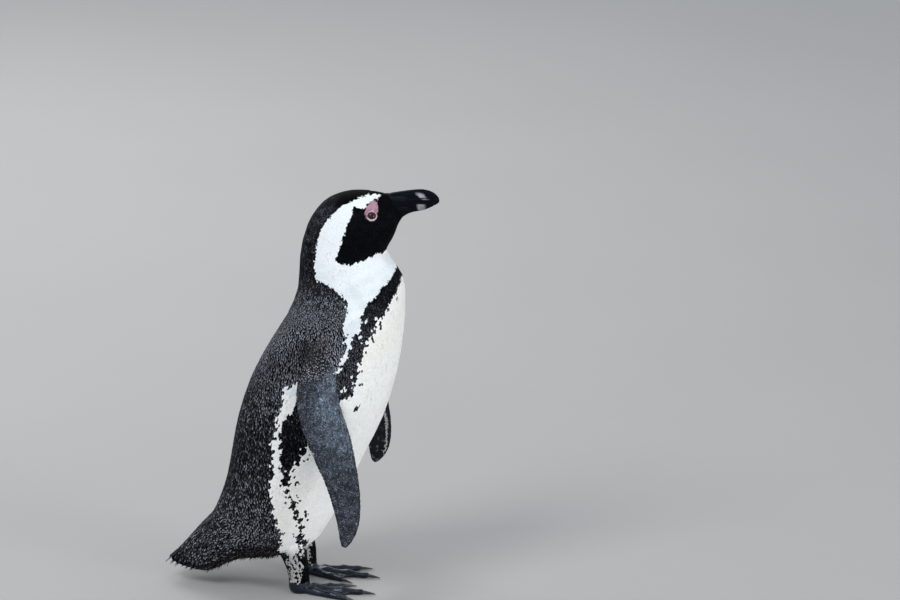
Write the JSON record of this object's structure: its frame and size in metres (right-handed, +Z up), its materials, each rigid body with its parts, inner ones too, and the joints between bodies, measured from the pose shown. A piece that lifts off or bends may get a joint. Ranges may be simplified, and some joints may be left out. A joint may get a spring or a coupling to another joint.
{
  "type": "african penguin",
  "caption": "Life-size standing African penguin that looks straight ahead, with flippers held a little away from its sides, webbed feet flat on the floor and a short tail just above it.",
  "frame": {"origin": "on the floor, below the centre of the model's bounding box", "axes": "+X the way the bird faces, +Y towards its left side, +Z up"},
  "size_m": [0.2936, 0.2645, 0.4382],
  "materials": {
    "black plumage": "dense small black feathers with pale specks",
    "white plumage": "dense small white feathers, satin",
    "flipper plumage": "tiny scale-like blue-black feathers",
    "bill horn": "smooth black horn with a grey band",
    "foot skin": "black scaly skin with a wet sheen",
    "claw horn": "dark horn",
    "eye": "glossy dark brown"
  },
  "bodies": {
    "root": {"head": "black plumage", "nape": "black plumage", "throat": "white plumage", "back": "black plumage", "breast": "white plumage", "belly": "white plumage", "tail": "black plumage", "flipper_right": "flipper plumage", "flipper_left": "flipper plumage", "leg_right": "white plumage", "leg_left": "white plumage", "foot_right": "foot skin", "foot_left": "foot skin", "claw_outer_right": "claw horn", "claw_middle_right": "claw horn", "claw_inner_right": "claw horn", "claw_hind_right": "claw horn", "claw_outer_left": "claw horn", "claw_middle_left": "claw horn", "claw_inner_left": "claw horn", "claw_hind_left": "claw horn", "bill_upper": "bill horn", "bill_lower": "bill horn", "eye_right": "eye", "eye_left": "eye"}
  },
  "joints": []
}
